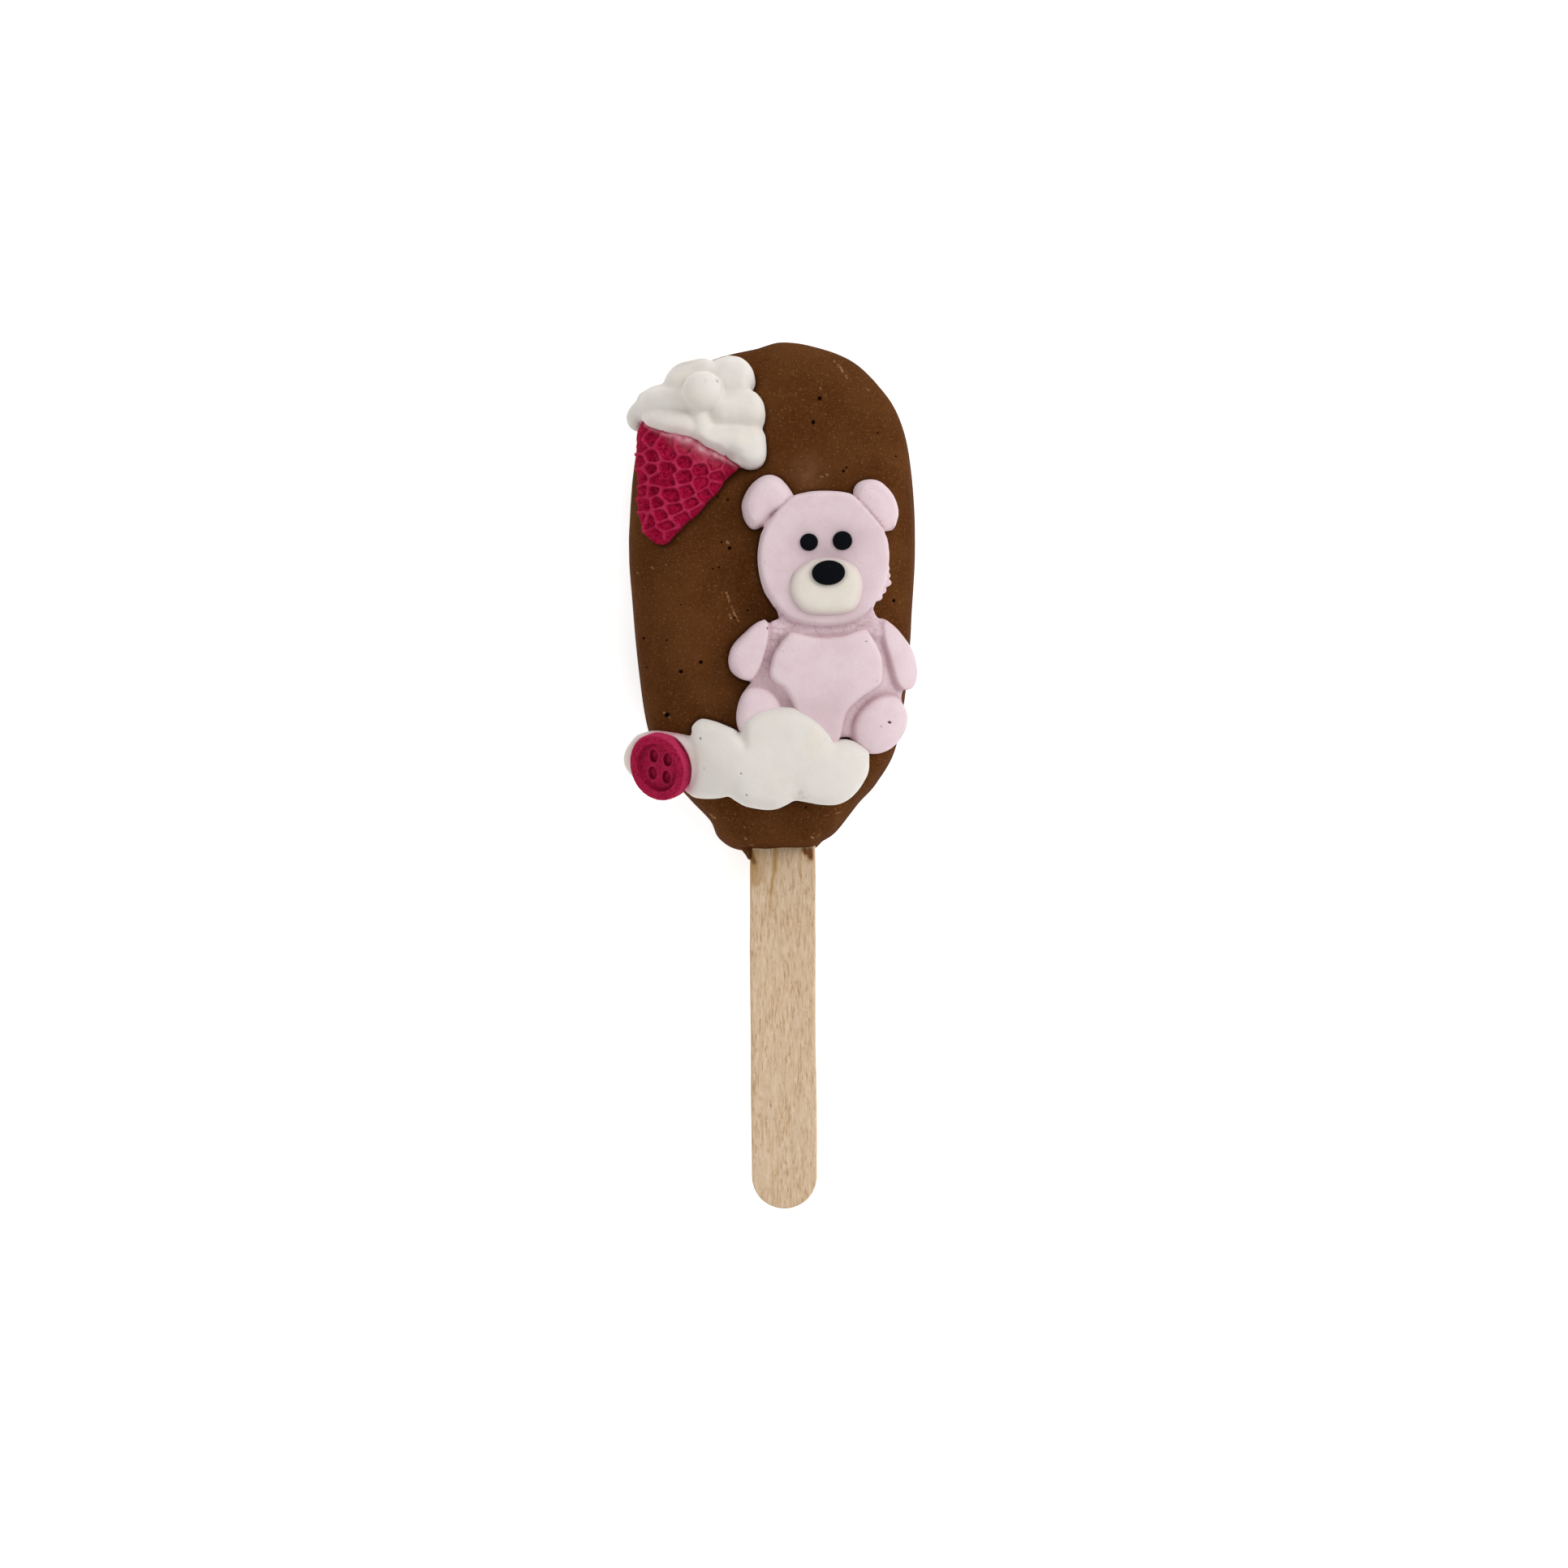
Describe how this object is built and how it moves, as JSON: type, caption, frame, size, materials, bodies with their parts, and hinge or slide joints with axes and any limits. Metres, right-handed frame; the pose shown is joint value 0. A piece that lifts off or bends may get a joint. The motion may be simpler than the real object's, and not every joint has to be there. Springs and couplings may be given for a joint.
{
  "type": "cakesicle",
  "caption": "Chocolate-dipped cake bar on a wooden stick, dressed with a sugar paste teddy bear, cloud, button and ice cream cone, lying on its flat back.",
  "frame": {"origin": "on the resting plane under the bar's flat back, on the stick's centre line, near the middle of the bar's length", "axes": "+Y from the stick towards the bar's round end, +Z out of the dressed face, +X to the right as seen from the dressed side with the stick below"},
  "size_m": [0.0491, 0.1452, 0.0309],
  "materials": {
    "chocolate": "satin",
    "wood": "raw",
    "pink_paste": "matte",
    "ivory_paste": "matte",
    "black_paste": "satin",
    "white_paste": "matte",
    "magenta_paste": "matte"
  },
  "bodies": {
    "root": {"chocolate_bar": "chocolate", "stick": "wood", "bear": "pink_paste", "bear_muzzle": "ivory_paste", "bear_nose": "black_paste", "bear_left_eye": "black_paste", "bear_right_eye": "black_paste", "cloud": "white_paste", "button": "magenta_paste", "cream": "white_paste", "cone": "magenta_paste"}
  },
  "joints": []
}
